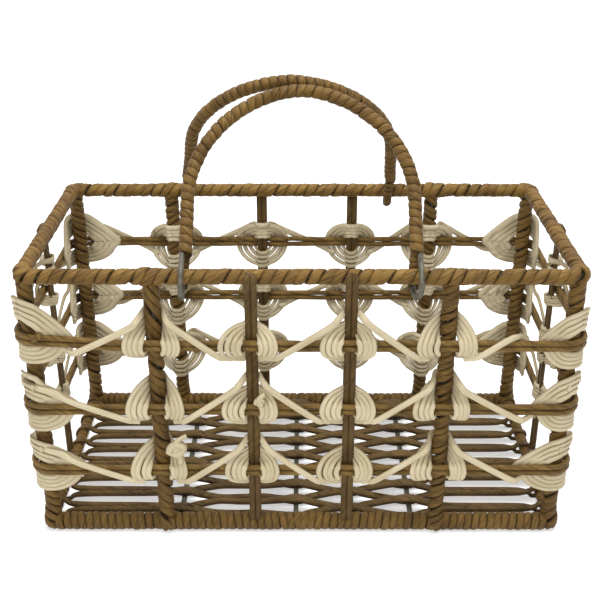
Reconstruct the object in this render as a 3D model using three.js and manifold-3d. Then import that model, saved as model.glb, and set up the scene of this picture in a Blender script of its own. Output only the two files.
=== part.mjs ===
// Magazine basket: a welded wire frame wrapped in brown paper cord, with laced open walls,
// a woven floor and two swinging wire handles. Millimetres, +Z up, +X along the basket.
// The origin is on the ground, under the middle of the basket.

import * as THREE from 'three';
import { mergeVertices } from 'three/addons/utils/BufferGeometryUtils.js';
import Module from 'manifold-3d';

// Driving dimensions of the frame, between wire centres. Each wall leans out from the base ring.
const baseLength = 389;
const baseDepth = 200;
const rimHeight = 206;
const endWallLean = 5.5;
const longWallLean = 2.5;
const cornerRadius = 8;
const frameWireRadius = 2.25;

// Wrappings of the frame
const rimWrapRadius = 5.9;
const baseWrapRadius = 7;
const endRailWrapRadius = 3.9;
const endRailTaper = 2.5;
const uprightWrapRadius = 6.2;

// Cords of the walls, the floor and the lacing
const cordRadius = 2.1;
const laceWidth = 4.8;
const laceThickness = 1.8;
const bandThickness = 2.2;
const petalWidth = 12.5;
const petalRise = 17.5;
const petalShoulder = 6.5;
const bandEdge = 0.5;
const cornerBulge = 0.5;
const clearance = 0.3;

// Rows of rail cords, as shares of the height from base wire to rim wire, with the slope of each
// row's first strand
const rowShares = [0.755, 0.5025, 0.25];
const rowNames = ['top', 'middle', 'bottom'];
const firstSlopes = [1, -1, -1];

// Uprights, as shares of half the length or depth of their wall
const frontPostShare = 0.535;
const backPostShare = 0.57;
const frontStakeShares = [-0.18, 0.18];
const backStakeShares = [-0.225, 0.175];
const stakeSplay = 2.2;

// Floor
const floorRowCount = 8;
const ribPlaces = { left: -94, middle: -4, middle_right: 40, right: 86 };
const ribRun = 20;
const loopHalfThickness = 1.2;
const loopHalfWidth = 2.7;

// Handles
const handleWidth = 165;
const handleLegLength = 60;
const handleArchHeight = 89;
const archPower = 1.12;
const handleWireRadius = 2;
const handleWrapRadius = 5.2;
const hookWrapRadius = 3.8;
const hookCrotch = 17.5;
const hookDrop = 15.3;
const tuckLength = 13;
const frontHandleShift = 0;
const rearHandleShift = -8.5;
const handleTopsAside = 2.75;

// Sides of the polygons that stand for round sections
const cordSides = 6;
const wireSides = 6;
const wrapSides = 10;
const baseWrapSides = 12;
const cornerSteps = 3;
const archSteps = 12;
const foldSteps = 4;
const loopSteps = 4;

// Worked out from the dimensions above
const rimLength = baseLength + 2 * endWallLean;
const rimDepth = baseDepth + 2 * longWallLean;
const rowHeights = rowShares.map((share) => share * rimHeight);
const baseLevel = baseWrapRadius * Math.cos(Math.PI / baseWrapSides);
const pairPitch = 2 * cordRadius + clearance;
const railOffset = uprightWrapRadius + clearance + cordRadius;
const stakeOffset = railOffset - pairPitch;
const railOuter = railOffset + cordRadius;
const railHalfHeight = pairPitch / 2 + cordRadius;
const petalOffset = railOuter + clearance + bandThickness / 2;
const handleLength = handleLegLength + handleArchHeight;
const handleReach = rimDepth / 2 - handleWrapRadius - clearance;
const frontHandleLean = Math.asin((handleReach + handleTopsAside) / handleLength);
const rearHandleLean = Math.asin((handleReach - handleTopsAside) / handleLength);

const brownCord = new THREE.MeshStandardMaterial({ color: 0x7d6239, roughness: 0.62, metalness: 0 });
const darkCord = new THREE.MeshStandardMaterial({ color: 0x6b5330, roughness: 0.65, metalness: 0 });
const creamCord = new THREE.MeshStandardMaterial({ color: 0xcabd9c, roughness: 0.6, metalness: 0 });
const steelWire = new THREE.MeshStandardMaterial({ color: 0x6e6d60, roughness: 0.45, metalness: 0.8 });

const wasm = await Module();
wasm.setup();

const basket = new THREE.Group();

function addPiece(name, geometry, material, parent = basket) {
  const mesh = new THREE.Mesh(geometry, material.clone());
  mesh.name = name;
  parent.add(mesh);
  return mesh;
}

// Booleans on closed geometries

function solidFrom(geometry) {
  const bare = geometry.clone();
  bare.deleteAttribute('normal');
  bare.deleteAttribute('uv');
  const merged = mergeVertices(bare);
  return new wasm.Manifold(new wasm.Mesh({
    numProp: 3,
    vertProperties: new Float32Array(merged.attributes.position.array),
    triVerts: new Uint32Array(merged.index.array),
  }));
}

function geometryFrom(solid) {
  const mesh = solid.getMesh();
  const geometry = new THREE.BufferGeometry();
  geometry.setAttribute('position', new THREE.BufferAttribute(mesh.vertProperties, 3));
  geometry.setIndex(new THREE.BufferAttribute(mesh.triVerts, 1));
  geometry.computeVertexNormals();
  return geometry;
}

function joined(geometries) {
  return geometries.map(solidFrom).reduce((sum, next) => sum.add(next));
}

// A closed skin over a row of rings that all have the same number of points

function skin(rings, closed) {
  const count = rings.length;
  const sides = rings[0].length;
  const positions = rings.flat().flatMap((point) => point.toArray());
  const index = [];
  const steps = closed ? count : count - 1;
  for (let ring = 0; ring < steps; ring += 1) {
    const next = (ring + 1) % count;
    for (let side = 0; side < sides; side += 1) {
      const beside = (side + 1) % sides;
      const a = ring * sides + side;
      const b = ring * sides + beside;
      const c = next * sides + beside;
      const d = next * sides + side;
      index.push(a, b, c, a, c, d);
    }
  }
  if (!closed) {
    const last = (count - 1) * sides;
    for (let side = 1; side < sides - 1; side += 1) {
      index.push(0, side + 1, side);
      index.push(last, last + side, last + side + 1);
    }
  }
  if (signedVolume(positions, index) < 0) index.reverse();
  const geometry = new THREE.BufferGeometry();
  geometry.setAttribute('position', new THREE.Float32BufferAttribute(positions, 3));
  geometry.setIndex(index);
  geometry.computeVertexNormals();
  return geometry;
}

function signedVolume(positions, index) {
  let volume = 0;
  const corner = (which) => new THREE.Vector3().fromArray(positions, 3 * which);
  for (let start = 0; start < index.length; start += 3) {
    const [a, b, c] = [0, 1, 2].map((step) => corner(index[start + step]));
    volume += a.dot(b.cross(c));
  }
  return volume;
}

// A straight bar from one point to another

function roundSection(radius, sides) {
  const corners = Array.from({ length: sides }, (unused, side) => {
    const angle = (side / sides) * 2 * Math.PI;
    return new THREE.Vector2(radius * Math.cos(angle), radius * Math.sin(angle));
  });
  return new THREE.Shape(corners);
}

function bar([from, to], radius, sides) {
  const extrudePath = new THREE.LineCurve3(from, to);
  return new THREE.ExtrudeGeometry(roundSection(radius, sides), { steps: 1, extrudePath });
}

// A tube through bends, or a closed ring, which has no end faces. up sets the section's second
// axis, and without it the section is carried along the tube without twist. sizes gives one
// radius, or one pair for each point.

function tube(points, sizes, sides, { closed = false, up = null } = {}) {
  const count = points.length;
  const at = (place) => {
    if (closed) return points[(place + count) % count];
    return points[THREE.MathUtils.clamp(place, 0, count - 1)];
  };
  let carried = null;
  const rings = points.map((point, place) => {
    const back = point.clone().sub(at(place - 1)).normalize();
    const ahead = at(place + 1).clone().sub(point).normalize();
    const tangent = back.add(ahead).normalize();
    let across;
    if (up) {
      across = tangent.clone().cross(up).normalize();
    } else {
      across = carried ?? new THREE.Vector3(tangent.y, tangent.z, tangent.x);
      across = across.clone().sub(tangent.clone().multiplyScalar(across.dot(tangent))).normalize();
      carried = across;
    }
    const over = across.clone().cross(tangent);
    const [half, halfOver] = Array.isArray(sizes) ? sizes[place] : [sizes, sizes];
    return Array.from({ length: sides }, (unused, side) => {
      const angle = ((side + 0.5) / sides) * 2 * Math.PI;
      return point.clone()
        .addScaledVector(across, half * Math.cos(angle))
        .addScaledVector(over, halfOver * Math.sin(angle));
    });
  });
  return skin(rings, closed);
}

// Places on the walls

const upward = new THREE.Vector3(0, 0, 1);
const crosswise = new THREE.Vector3(0, 1, 0);
const walls = {
  front: { turn: 0, end: false },
  right: { turn: Math.PI / 2, end: true },
  back: { turn: Math.PI, end: false },
  left: { turn: -Math.PI / 2, end: true },
};

function halfSizes(height) {
  const share = height / rimHeight;
  return {
    halfLength: THREE.MathUtils.lerp(baseLength, rimLength, share) / 2,
    halfDepth: THREE.MathUtils.lerp(baseDepth, rimDepth, share) / 2,
  };
}

function halfRun(wall, height) {
  const { halfLength, halfDepth } = halfSizes(height);
  return wall.end ? halfDepth : halfLength;
}

function straightRun(wall, height) {
  return halfRun(wall, height) - cornerRadius;
}

// A place on a wall: along it from its middle, out from its wires' plane, and up from the base wire.
// Past the straight run the place goes round the corner and on along the next wall.

function wallPoint(wall, along, out, height) {
  const { halfLength, halfDepth } = halfSizes(height);
  const reach = wall.end ? halfLength : halfDepth;
  const past = Math.abs(along) - straightRun(wall, height);
  const turn = THREE.MathUtils.clamp(past / cornerRadius, 0, Math.PI / 2);
  const beyond = Math.max(past - (turn * cornerRadius), 0);
  const swung = cornerRadius + out;
  const across = past < 0 ? Math.abs(along) : straightRun(wall, height) + swung * Math.sin(turn);
  const forward = reach - cornerRadius + swung * Math.cos(turn) - beyond;
  const place = new THREE.Vector3(Math.sign(along) * across, -forward, baseLevel + height);
  return place.applyAxisAngle(upward, wall.turn);
}

const cornerArc = (Math.PI / 2) * cornerRadius;

function cornerAlong(wall, height) {
  return straightRun(wall, height) + cornerArc / 2;
}

function ringPoints(height, out = 0) {
  return Object.values(walls).flatMap((wall) => Array.from({ length: cornerSteps + 1 }, (unused, step) => {
    const along = straightRun(wall, height) + (step / cornerSteps) * cornerArc;
    return wallPoint(wall, along, out, height);
  }));
}

function ring(height, radius, sides, out = 0) {
  return tube(ringPoints(height, out), radius, sides, { closed: true, up: upward });
}

// Uprights, with their places as shares of the half run of their wall

const posts = [
  { name: 'front_left', wall: walls.front, share: -frontPostShare },
  { name: 'front_right', wall: walls.front, share: frontPostShare },
  { name: 'back_right', wall: walls.back, share: -backPostShare },
  { name: 'back_left', wall: walls.back, share: backPostShare },
];
const corners = [
  { name: 'front_right', wall: walls.front },
  { name: 'back_right', wall: walls.right },
  { name: 'back_left', wall: walls.back },
  { name: 'front_left', wall: walls.left },
];
const stakes = [
  { name: 'front_left', wall: walls.front, share: frontStakeShares[0] },
  { name: 'front_right', wall: walls.front, share: frontStakeShares[1] },
  { name: 'end_right', wall: walls.right, share: 0 },
  { name: 'back_right', wall: walls.back, share: backStakeShares[0] },
  { name: 'back_left', wall: walls.back, share: backStakeShares[1] },
  { name: 'end_left', wall: walls.left, share: 0 },
];

function postLine({ wall, share }) {
  return [0, rimHeight].map((height) => wallPoint(wall, share * halfRun(wall, height), 0, height));
}

function cornerLine({ wall }) {
  return [0, rimHeight].map((height) => wallPoint(wall, cornerAlong(wall, height), 0, height));
}

const uprightLines = [...posts.map(postLine), ...corners.map(cornerLine)];

// Welded wire frame, and the same frame grown by the clearance, which hollows the wrappings

function frameSolid(growth) {
  const radius = frameWireRadius + growth;
  const rings = [0, rimHeight].map((height) => ring(height, radius, wireSides));
  const bars = uprightLines.map((line) => bar(line, radius, wireSides));
  return joined([...rings, ...bars]);
}

addPiece('wire_frame', geometryFrom(frameSolid(0)), steelWire);
const frameVoid = frameSolid(clearance);

// Cross ribs of the floor, between the front and back base wires

const ribReach = baseDepth / 2 - frameWireRadius - clearance;

function rib(place, reach, radius) {
  const ends = [-reach, reach].map((across) => new THREE.Vector3(place, across, baseLevel));
  return bar(ends, radius, wireSides);
}

Object.entries(ribPlaces).forEach(([name, place]) => {
  addPiece(`floor_rib_${name}`, rib(place, ribReach, frameWireRadius), steelWire);
});
const ribVoids = Object.values(ribPlaces).map((place) => (
  solidFrom(rib(place, baseDepth / 2, frameWireRadius + clearance))
));

// Wrapping of the top ring

const rimWrap = solidFrom(ring(rimHeight, rimWrapRadius, wrapSides)).subtract(frameVoid);
addPiece('rim_wrap', geometryFrom(rimWrap), brownCord);

// Wrapping of the base ring, slimmer along the end rails, where the floor cords loop round it

function baseWrapSolid() {
  const points = [];
  const radii = [];
  Object.values(walls).forEach((wall) => {
    const straight = straightRun(wall, 0);
    if (wall.end) {
      [-1, 1].forEach((sign) => {
        points.push(wallPoint(wall, sign * (straight - endRailTaper), 0, 0));
        radii.push([endRailWrapRadius, endRailWrapRadius]);
      });
    }
    for (let step = 0; step <= cornerSteps; step += 1) {
      points.push(wallPoint(wall, straight + (step / cornerSteps) * cornerArc, 0, 0));
      radii.push([baseWrapRadius, baseWrapRadius]);
    }
  });
  return solidFrom(tube(points, radii, baseWrapSides, { closed: true, up: upward }));
}

const baseWrap = ribVoids.reduce((left, hole) => left.subtract(hole), baseWrapSolid().subtract(frameVoid));
addPiece('base_wrap', geometryFrom(baseWrap), brownCord);

// Wrappings of the uprights, cut to the round of the rim and base wrappings

const rimCutter = solidFrom(ring(rimHeight, rimWrapRadius + clearance, wrapSides));
const baseCutter = solidFrom(ring(0, baseWrapRadius + clearance, baseWrapSides));

function uprightWrap(line) {
  const sleeve = solidFrom(bar(line, uprightWrapRadius, wrapSides));
  const trimmed = sleeve.subtract(frameVoid).subtract(rimCutter).subtract(baseCutter);
  const pieces = trimmed.decompose();
  return pieces.reduce((largest, piece) => (piece.volume() > largest.volume() ? piece : largest));
}

posts.forEach((post) => {
  addPiece(`post_wrap_${post.name}`, geometryFrom(uprightWrap(postLine(post))), brownCord);
});
corners.forEach((corner) => {
  addPiece(`corner_wrap_${corner.name}`, geometryFrom(uprightWrap(cornerLine(corner))), brownCord);
});

// Thin stakes: a doubled cord, folded just under the rim, whose strands spread towards the foot
// in the end walls

function splayAt(wall, height) {
  return wall.end ? stakeSplay * (1 - height / rimHeight) : 0;
}

function stakeGeometry(stake) {
  const topHeight = rimHeight - rimWrapRadius - clearance - cordRadius - pairPitch / 2;
  const footHeight = (stake.wall.end ? endRailWrapRadius : baseWrapRadius) + clearance;
  const splay = splayAt(stake.wall, footHeight);
  const place = (height, side, rise = 0) => wallPoint(
    stake.wall,
    stake.share * halfRun(stake.wall, height) + side,
    stakeOffset,
    height + rise,
  );
  const fold = Array.from({ length: foldSteps + 1 }, (unused, step) => {
    const angle = Math.PI * (1 - step / foldSteps);
    return place(topHeight, (pairPitch / 2) * Math.cos(angle), (pairPitch / 2) * Math.sin(angle));
  });
  const points = [
    place(footHeight, -pairPitch / 2 - splay),
    ...fold,
    place(footHeight, pairPitch / 2 + splay),
  ];
  const outward = new THREE.Vector3(0, -1, 0).applyAxisAngle(upward, stake.wall.turn);
  return tube(points, cordRadius, cordSides, { up: outward });
}

stakes.forEach((stake) => addPiece(`stake_${stake.name}`, stakeGeometry(stake), darkCord));

// Rail cords, an upper and a lower one in each row, round the outside of the uprights

rowHeights.forEach((height, row) => {
  [['upper', 1], ['lower', -1]].forEach(([name, sign]) => {
    const cord = ring(height + sign * (pairPitch / 2), cordRadius, cordSides, railOffset);
    addPiece(`rail_${rowNames[row]}_${name}`, cord, darkCord);
  });
});

// Floor rows: each is one cord, out over and under the ribs, round the end rail and back the other
// way. Its two strands lie together at both ends. At each rib they change between lying together
// and lying against the strands of the rows beside them.

const floorPitch = (baseDepth - 2 * baseWrapRadius) / floorRowCount;
const weaveRise = frameWireRadius + clearance + cordRadius;
const together = pairPitch / 2;
const apart = (floorPitch - pairPitch) / 2;
const loopRadius = endRailWrapRadius + clearance + loopHalfThickness;
const loopApproach = 2 * loopRadius;

function floorStrand() {
  const ribs = Object.values(ribPlaces);
  const last = ribs.length - 1;
  const end = baseLength / 2 - loopApproach;
  const stations = [[-end, together, weaveRise], [ribs[0] - ribRun, together, 0]];
  ribs.forEach((place, order) => {
    const odd = order % 2;
    stations.push([place, floorPitch / 4, odd ? weaveRise : -weaveRise]);
    if (order < last) stations.push([(place + ribs[order + 1]) / 2, odd ? together : apart, 0]);
  });
  return [...stations, [ribs[last] + ribRun, together, 0], [end, together, -weaveRise]];
}

function floorRow(middle) {
  const points = [];
  const sizes = [];
  const put = ([x, y, rise], size) => {
    points.push(new THREE.Vector3(x, middle + y, baseLevel + rise));
    sizes.push(size);
  };
  const outward = floorStrand();
  const homeward = outward.map(([x, y, rise]) => [x, -y, -rise]).reverse();
  [[1, outward], [-1, homeward]].forEach(([heading, strand]) => {
    strand.forEach((station) => put(station, [cordRadius, cordRadius]));
    for (let step = 0; step <= loopSteps; step += 1) {
      const share = step / loopSteps;
      const angle = Math.PI * (0.5 - share);
      put([
        heading * (baseLength / 2 + loopRadius * Math.cos(angle)),
        heading * together * (1 - 2 * share),
        -loopRadius * Math.sin(angle),
      ], [loopHalfThickness, loopHalfWidth]);
    }
  });
  return tube(points, sizes, cordSides, { closed: true, up: crosswise });
}

Array.from({ length: floorRowCount }, (unused, row) => {
  const middle = (row - (floorRowCount - 1) / 2) * floorPitch;
  return addPiece(`floor_row_${row + 1}`, floorRow(middle), darkCord);
});

// Lacing: at each crossing the cream cord goes over the rail cords and behind the upright, and at a
// corner behind the rail cords and over the post. Its turns are one band here, with two petals.
// Each row has four lengths, one on each wall, and those on the long walls hold the corners.

const longWallCrossings = (postShare, stakeShares) => [
  { kind: 'corner', side: -1 },
  { kind: 'post', share: -postShare },
  { kind: 'stake', share: stakeShares[0] },
  { kind: 'stake', share: stakeShares[1] },
  { kind: 'post', share: postShare },
  { kind: 'corner', side: 1 },
];
const lacedWalls = [
  { name: 'front', wall: walls.front, crossings: longWallCrossings(frontPostShare, frontStakeShares) },
  { name: 'right', wall: walls.right, crossings: [{ kind: 'stake', share: 0 }] },
  { name: 'back', wall: walls.back, crossings: longWallCrossings(backPostShare, backStakeShares) },
  { name: 'left', wall: walls.left, crossings: [{ kind: 'stake', share: 0 }] },
];

const stakeHalfWidth = pairPitch / 2 + cordRadius;
const bandKinds = {
  post: {
    upright: uprightWrapRadius,
    atRail: petalOffset,
    atUpright: -uprightWrapRadius - clearance - bandThickness / 2,
  },
  stake: {
    upright: stakeHalfWidth,
    atRail: petalOffset,
    atUpright: stakeOffset - cordRadius - clearance - bandThickness / 2,
  },
  corner: {
    upright: uprightWrapRadius,
    atRail: railOffset - cordRadius - clearance - bandThickness / 2,
    atUpright: uprightWrapRadius + clearance + bandThickness / 2 + cornerBulge,
    middleShares: [0.5, 0, -0.5],
  },
};

function crossingAlong(wall, crossing, height) {
  if (crossing.kind === 'corner') return crossing.side * cornerAlong(wall, height);
  return crossing.share * halfRun(wall, height);
}

function crossingBand(wall, crossing, height) {
  const kind = bandKinds[crossing.kind];
  const centre = crossingAlong(wall, crossing, height);
  const splay = crossing.kind === 'stake' ? splayAt(wall, height - petalRise) : 0;
  const nearUpright = kind.upright + clearance + bandEdge + splay;
  const nearRail = railHalfHeight + clearance + bandEdge;
  const petalTip = nearUpright + bandEdge + petalWidth;
  const section = (corners) => corners.map(([along, rise, out]) => (
    wallPoint(wall, centre + along, out, height + rise)
  ));
  const flat = ([innerAlong, innerRise], [outerAlong, outerRise], near, far) => section([
    [innerAlong, innerRise, near], [outerAlong, outerRise, near],
    [outerAlong, outerRise, far], [innerAlong, innerRise, far],
  ]);
  const rings = [];
  [[1, 1], [-1, 1], [-1, -1], [1, -1]].forEach(([sign, up], quarter) => {
    const half = bandThickness / 2;
    const petal = flat(
      [sign * (nearUpright + bandEdge), up * nearRail],
      [sign * petalTip, up * petalShoulder],
      kind.atRail - half,
      kind.atRail + half,
    );
    const behind = (along, near, far) => flat(
      [sign * along, up * (nearRail + bandEdge)],
      [sign * along, up * petalRise],
      near,
      far,
    );
    const { atRail, atUpright } = kind;
    if (crossing.kind === 'corner') {
      const crown = flat(
        [sign * nearUpright, up * (nearRail + bandEdge)],
        [sign * (nearUpright + bandEdge), up * petalRise],
        atUpright - half,
        atUpright + half,
      );
      const middles = kind.middleShares.map((share) => (
        behind(share * nearUpright, atUpright - half, atUpright + half)
      ));
      rings.push(...(quarter % 2 === 1 ? [crown, petal] : [petal, crown, ...middles]));
      return;
    }
    const sideOut = (atRail + atUpright) / 2;
    const [near, far] = [nearUpright + bandThickness, nearUpright];
    const beside = section([
      [sign * near, up * (nearRail + bandEdge), sideOut], [sign * near, up * petalRise, sideOut],
      [sign * far, up * petalRise, sideOut], [sign * far, up * (nearRail + bandEdge), sideOut],
    ]);
    const back = behind(nearUpright - half, atUpright - half, atUpright + half);
    rings.push(...(quarter % 2 === 1 ? [back, beside, petal] : [petal, beside, back]));
  });
  return skin(rings, true);
}

// The strand from one crossing to the next, a flat cord over the rail cords, low at one end and
// high at the other. slope is 1 where it rises along the wall.

function linkStrand(wall, crossing, next, height, slope) {
  const petalMiddle = (kind) => bandKinds[kind].upright + petalWidth / 2 + clearance;
  const lead = ({ kind }, sign) => {
    const overPetal = [sign * petalMiddle(kind), petalShoulder, petalOffset];
    if (kind !== 'corner' || wall.end) return [overPetal];
    const { atUpright } = bandKinds.corner;
    return [
      [sign * uprightWrapRadius, (petalRise + railHalfHeight) / 2, atUpright],
      [sign * petalMiddle(kind), petalShoulder + laceWidth / 2, (atUpright + petalOffset) / 2],
      [sign * (petalMiddle(kind) + petalWidth), petalShoulder, petalOffset],
    ];
  };
  const from = crossingAlong(wall, crossing, height);
  const to = crossingAlong(wall, next, height);
  const leave = lead(crossing, 1).map(([along, rise, out]) => [from + along, -slope * rise, out]);
  const arrive = lead(next, -1).reverse().map(([along, rise, out]) => [to + along, slope * rise, out]);
  const route = [...leave, ...arrive];
  const rings = route.map(([along, rise, out], place) => {
    const before = route[Math.max(place - 1, 0)];
    const after = route[Math.min(place + 1, route.length - 1)];
    const heading = new THREE.Vector2(after[0] - before[0], after[1] - before[1]).normalize();
    const [aside, lift] = [(-heading.y * laceWidth) / 2, (heading.x * laceWidth) / 2];
    return [[1, 1], [1, -1], [-1, -1], [-1, 1]].map(([edge, face]) => wallPoint(
      wall,
      along + edge * aside,
      out + (face * laceThickness) / 2,
      height + rise + edge * lift,
    ));
  });
  return skin(rings, false);
}

rowHeights.forEach((height, row) => {
  lacedWalls.forEach(({ name, wall, crossings }) => {
    const [cornerBefore, cornerAfter] = [-1, 1].map((side) => ({ kind: 'corner', side }));
    const ends = wall.end ? [cornerBefore, ...crossings, cornerAfter] : crossings;
    const bands = crossings.map((crossing) => crossingBand(wall, crossing, height));
    const links = ends.slice(1).map((next, place) => {
      const slope = place % 2 === 0 ? firstSlopes[row] : -firstSlopes[row];
      return linkStrand(wall, ends[place], next, height, slope);
    });
    addPiece(`lacing_${rowNames[row]}_${name}`, geometryFrom(joined([...links, ...bands])), creamCord);
  });
});

// Handles, drawn upright over the rail's axis, with the outside of the basket at -Y

function mirrored(points) {
  return points.map((point) => new THREE.Vector3(-point.x, point.y, point.z)).reverse();
}

const halfWidth = handleWidth / 2;
const wireSpread = handleWireRadius + clearance / 2;
const outerPass = rimWrapRadius + clearance + handleWireRadius;
const innerPass = rimWrapRadius + clearance + hookWrapRadius;

function archPoints() {
  return Array.from({ length: archSteps + 1 }, (unused, step) => {
    const angle = Math.PI * (1 - step / archSteps);
    const rise = handleLegLength + handleArchHeight * Math.sin(angle);
    const aside = Math.sign(Math.cos(angle)) * Math.abs(Math.cos(angle)) ** archPower;
    return new THREE.Vector3(halfWidth * aside, 0, rise);
  });
}

// One hook: from the tucked end down outside the rail, under it, and up inside to the leg

const wrappedHook = [
  new THREE.Vector3(-halfWidth + wireSpread, innerPass, -cordRadius),
  new THREE.Vector3(-halfWidth + wireSpread, innerPass, cordRadius),
  new THREE.Vector3(-halfWidth + wireSpread, wireSpread, hookCrotch + wireSpread),
  new THREE.Vector3(-halfWidth + wireSpread, 0, hookCrotch + 2 * handleWireRadius),
];
const bareHook = [
  new THREE.Vector3(-halfWidth - wireSpread, 0, hookCrotch + tuckLength),
  new THREE.Vector3(-halfWidth - wireSpread, 0, hookCrotch + handleWireRadius),
  new THREE.Vector3(-halfWidth - wireSpread, -outerPass, handleWireRadius),
  new THREE.Vector3(-halfWidth - wireSpread, -outerPass, -handleWireRadius),
  new THREE.Vector3(-halfWidth - wireSpread, -outerPass * Math.SQRT1_2, -hookDrop * Math.SQRT1_2),
  new THREE.Vector3(-halfWidth, 0, -hookDrop),
  new THREE.Vector3(-halfWidth + wireSpread, innerPass * Math.SQRT1_2, -hookDrop * Math.SQRT1_2),
];

function handleWirePoints() {
  const legJoint = new THREE.Vector3(-halfWidth, 0, hookCrotch + 2 * tuckLength);
  const half = [...bareHook, ...wrappedHook, new THREE.Vector3(
    -halfWidth + wireSpread,
    0,
    hookCrotch + tuckLength,
  ), legJoint];
  return [...half, ...archPoints(), ...mirrored(half)];
}

function handleWrap() {
  const legEnd = new THREE.Vector3(-halfWidth, 0, hookCrotch);
  const legs = [legEnd, ...archPoints(), ...mirrored([legEnd])];
  const main = tube(legs, handleWrapRadius, wrapSides, { up: crosswise });
  const hooks = [wrappedHook, mirrored(wrappedHook)].map((points) => (
    tube(points, hookWrapRadius, wrapSides)
  ));
  const wireVoid = solidFrom(tube(handleWirePoints(), handleWireRadius + clearance, wireSides));
  return joined([main, ...hooks]).subtract(wireVoid);
}

function addHandle(name, turn, shift, lean) {
  const side = new THREE.Group();
  side.rotation.z = turn;
  const handle = new THREE.Group();
  handle.position.set(Math.cos(turn) * shift, -rimDepth / 2, baseLevel + rimHeight);
  handle.rotation.x = -lean;
  addPiece(`${name}_handle_wire`, tube(handleWirePoints(), handleWireRadius, wireSides), steelWire, handle);
  addPiece(`${name}_handle_wrap`, geometryFrom(handleWrap()), brownCord, handle);
  side.add(handle);
  basket.add(side);
}

addHandle('front', 0, frontHandleShift, frontHandleLean);
addHandle('rear', Math.PI, rearHandleShift, rearHandleLean);

export default basket;
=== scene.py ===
# Magazine basket: a welded wire frame wrapped in brown paper cord, with open walls of corded rows
# laced in cream, a woven cord floor and two swinging handles. Metres, +Z up, +X along the basket.

import bisect
import math
import random

import bmesh
import bpy
from mathutils import Matrix, Vector, noise


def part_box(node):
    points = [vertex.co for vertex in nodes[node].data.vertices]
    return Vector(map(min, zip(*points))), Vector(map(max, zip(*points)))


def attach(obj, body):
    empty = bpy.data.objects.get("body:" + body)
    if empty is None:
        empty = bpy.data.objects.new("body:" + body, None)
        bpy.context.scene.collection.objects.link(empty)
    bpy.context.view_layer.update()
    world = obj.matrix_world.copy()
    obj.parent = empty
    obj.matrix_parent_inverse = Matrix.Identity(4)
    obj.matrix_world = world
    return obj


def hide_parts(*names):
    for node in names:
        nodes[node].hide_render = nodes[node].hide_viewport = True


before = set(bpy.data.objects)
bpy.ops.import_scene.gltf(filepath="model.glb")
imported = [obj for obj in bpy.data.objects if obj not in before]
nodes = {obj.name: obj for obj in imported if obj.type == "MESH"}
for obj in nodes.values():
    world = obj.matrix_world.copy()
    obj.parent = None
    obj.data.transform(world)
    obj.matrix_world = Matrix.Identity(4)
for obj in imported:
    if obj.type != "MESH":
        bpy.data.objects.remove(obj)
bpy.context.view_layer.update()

# Camera
# It stands in front of the basket at about arm's length and looks down into it, as the
# photograph does, so that the woven floor shows through the open top and walls.

camera_data = bpy.data.cameras.new("camera")
camera_data.sensor_width = 36
camera_data.lens = 67.42
camera = bpy.data.objects.new("camera", camera_data)
camera.location = (0.0005, -0.8417, 0.5071)
camera.rotation_euler = (math.radians(67.1), 0, math.radians(0.1))
bpy.context.scene.collection.objects.link(camera)
bpy.context.scene.camera = camera

# Welded frame and cross ribs
# Round mild steel wire, butt welded into a top ring, a base ring, four corner posts and four
# uprights. Four ribs cross the base from front to back. Nearly all of it is hidden under the cord.

rim_length, rim_depth = 0.400, 0.205
base_length, base_depth = 0.389, 0.200
rim_height = 0.206
corner_radius = 0.008
rib_low, rib_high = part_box("floor_rib_middle")
base_level = (rib_low.z + rib_high.z) / 2


def steel():
    """Grey-green drawn wire with fine draw marks and dull patches."""
    material = bpy.data.materials.new("steel_wire")
    material.use_nodes = True
    tree = material.node_tree
    shader = tree.nodes["Principled BSDF"]
    shader.inputs["Metallic"].default_value = 0.35
    where = tree.nodes.new("ShaderNodeTexCoord")
    patches = tree.nodes.new("ShaderNodeTexNoise")
    patches.inputs["Scale"].default_value = 260
    patches.inputs["Detail"].default_value = 5
    tree.links.new(where.outputs["Object"], patches.inputs["Vector"])
    ramp = tree.nodes.new("ShaderNodeValToRGB")
    ramp.color_ramp.elements[0].position = 0.35
    ramp.color_ramp.elements[0].color = (0.075, 0.068, 0.048, 1)
    ramp.color_ramp.elements[1].position = 0.7
    ramp.color_ramp.elements[1].color = (0.16, 0.15, 0.11, 1)
    tree.links.new(patches.outputs["Fac"], ramp.inputs["Fac"])
    tree.links.new(ramp.outputs["Color"], shader.inputs["Base Color"])
    rough = tree.nodes.new("ShaderNodeMapRange")
    rough.inputs["To Min"].default_value = 0.38
    rough.inputs["To Max"].default_value = 0.6
    tree.links.new(patches.outputs["Fac"], rough.inputs["Value"])
    tree.links.new(rough.outputs["Result"], shader.inputs["Roughness"])
    bump = tree.nodes.new("ShaderNodeBump")
    bump.inputs["Strength"].default_value = 0.25
    bump.inputs["Distance"].default_value = 0.0002
    tree.links.new(patches.outputs["Fac"], bump.inputs["Height"])
    tree.links.new(bump.outputs["Normal"], shader.inputs["Normal"])
    return material


steel_wire = steel()
for name in ("wire_frame", "floor_rib_left", "floor_rib_middle", "floor_rib_middle_right",
             "floor_rib_right"):
    nodes[name].data.materials.clear()
    nodes[name].data.materials.append(steel_wire)

# Wrapping of the top ring
# Brown twisted paper cord, two turns laid side by side and pressed flat, wound tightly round the
# ring from the front left corner all the way round. The turns bulge and lean a little, each its
# own way, and lie thicker where the posts and uprights are bound in.

wall_turns = {"front": 0.0, "right": math.pi / 2, "back": math.pi, "left": -math.pi / 2}
corner_arc = corner_radius * math.pi / 2


def half_run(wall, height):
    """Half the length of a wall between its corner wires, at a height above the base wire."""
    share = height / rim_height
    if wall in ("front", "back"):
        return (base_length + (rim_length - base_length) * share) / 2
    return (base_depth + (rim_depth - base_depth) * share) / 2


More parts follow.
